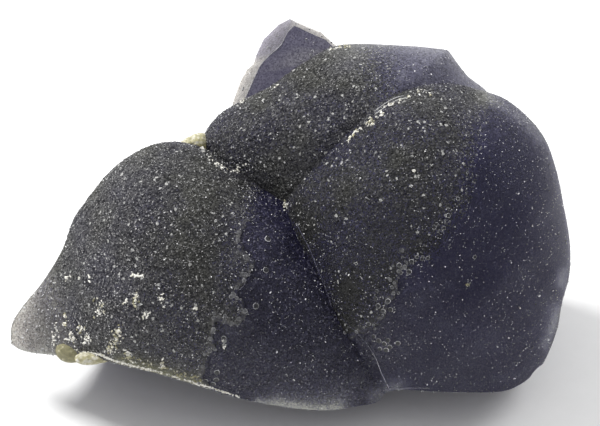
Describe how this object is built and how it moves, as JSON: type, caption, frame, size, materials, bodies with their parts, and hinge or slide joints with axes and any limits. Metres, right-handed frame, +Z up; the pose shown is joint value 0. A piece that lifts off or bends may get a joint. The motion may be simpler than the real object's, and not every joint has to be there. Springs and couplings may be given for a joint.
{
  "type": "botryoidal fluorite specimen",
  "caption": "Natural botryoidal fluorite hand specimen: rounded violet lumps with a drusy quartz crust, lying on its flat broken base.",
  "frame": {"origin": "middle of the bounding box's underside, on the surface that the specimen lies on", "axes": "+Z up from the flat base, +X along the long side from the thin tail to the large lump, -Y towards the side with the grown lumps"},
  "size_m": [0.0902, 0.0554, 0.0451],
  "materials": {
    "fluorite": "dark blue-violet fluorite, satin grown skin, translucent where thin",
    "quartz_crust": "thin grey drusy quartz crust of fine sparkling points, with small glassy drops",
    "matrix": "crumbly cream to olive yellow matrix, matt"
  },
  "bodies": {
    "root": {"fluorite": "fluorite"}
  },
  "joints": []
}
